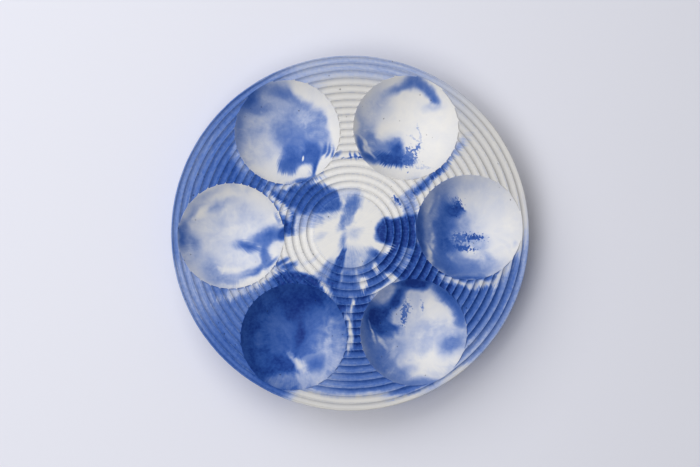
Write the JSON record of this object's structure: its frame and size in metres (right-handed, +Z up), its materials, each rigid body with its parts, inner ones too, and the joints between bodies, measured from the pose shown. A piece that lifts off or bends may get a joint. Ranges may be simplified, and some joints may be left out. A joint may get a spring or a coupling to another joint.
{
  "type": "seder plate",
  "caption": "Thick round cast plate with concentric flutes, a plain central disc and a ring of round bowls, on small rubber feet.",
  "frame": {"origin": "middle of the plane that the feet rest on, on the plate's axis", "axes": "+Z up along the plate's axis, +X through the middle of the first bowl, +Y away from the viewer"},
  "size_m": [0.3334, 0.3334, 0.037],
  "materials": {
    "marbled_casting": "matte cast surface, blue pigment marbled into white",
    "foot_rubber": "matte moulded rubber"
  },
  "bodies": {
    "root": {"cast_plate": "marbled_casting", "rubber_foot_1": "foot_rubber", "rubber_foot_2": "foot_rubber", "rubber_foot_3": "foot_rubber", "rubber_foot_4": "foot_rubber", "rubber_foot_5": "foot_rubber", "rubber_foot_6": "foot_rubber"}
  },
  "joints": []
}
